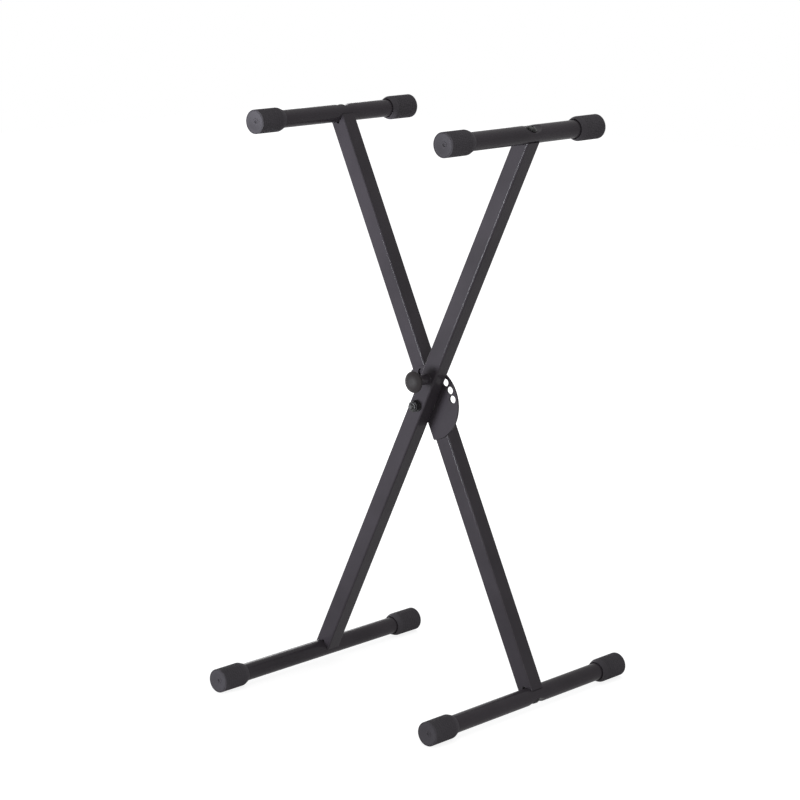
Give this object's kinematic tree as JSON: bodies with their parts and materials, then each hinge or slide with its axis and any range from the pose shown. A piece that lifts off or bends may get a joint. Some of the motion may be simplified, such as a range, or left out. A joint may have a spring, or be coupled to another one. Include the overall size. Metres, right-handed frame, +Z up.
{
  "type": "keyboard stand",
  "caption": "Folding X-shaped keyboard stand: crossed square-tube legs on a pivot bolt, a spring-pin locking plate, round crossbars with rubber end caps.",
  "frame": {"origin": "on the floor, below the middle of the footprint", "axes": "+Z up; the crossbars run along Y, with the lock knob on the -Y side; the legs cross in planes of X and Z"},
  "size_m": [0.4728, 0.53, 0.9681],
  "materials": {
    "black_coat": "satin black powder coat",
    "cap_rubber": "matt moulded rubber",
    "black_fasteners": "black zinc plate",
    "zinc_steel": "bright zinc plate",
    "knob_plastic": "moulded black plastic",
    "black_nylon": "moulded nylon"
  },
  "bodies": {
    "front_frame": {"front_leg": "black_coat", "front_leg_sleeve": "zinc_steel", "pivot_bolt": "black_fasteners", "pivot_nut": "black_fasteners", "pivot_front_washer": "black_fasteners", "pivot_back_washer": "black_fasteners", "pivot_spacer": "black_nylon", "pin_housing": "black_coat", "lock_spring": "zinc_steel", "right_top_bar": "black_coat", "right_top_front_cap": "cap_rubber", "right_top_back_cap": "cap_rubber", "right_top_bolt": "black_fasteners", "right_top_washer": "black_fasteners", "right_top_insert": "black_nylon", "left_foot_bar": "black_coat", "left_foot_front_cap": "cap_rubber", "left_foot_back_cap": "cap_rubber", "left_foot_bolt": "black_fasteners", "left_foot_washer": "black_fasteners", "left_foot_insert": "black_nylon"},
    "rear_frame": {"rear_leg": "black_coat", "rear_leg_sleeve": "zinc_steel", "lock_plate": "black_coat", "left_top_bar": "black_coat", "left_top_front_cap": "cap_rubber", "left_top_back_cap": "cap_rubber", "left_top_bolt": "black_fasteners", "left_top_washer": "black_fasteners", "left_top_insert": "black_nylon", "right_foot_bar": "black_coat", "right_foot_front_cap": "cap_rubber", "right_foot_back_cap": "cap_rubber", "right_foot_bolt": "black_fasteners", "right_foot_washer": "black_fasteners", "right_foot_insert": "black_nylon"},
    "lock": {"lock_pin": "zinc_steel", "pull_knob": "knob_plastic"}
  },
  "joints": [
    {"name": "leg_pivot", "type": "hinge", "parent": "front_frame", "child": "rear_frame", "pos_m": [0, 0.018, 0.48403], "axis": [0, 1, 0], "range_deg": [-51, 45]},
    {"name": "pin_slide", "type": "slide", "parent": "front_frame", "child": "lock", "axis": [0, 1, 0], "range_m": [0, 0.0032], "stiffness_N_per_m": 1500, "springref_m": 0.012, "deforming": ["lock_spring"]}
  ]
}
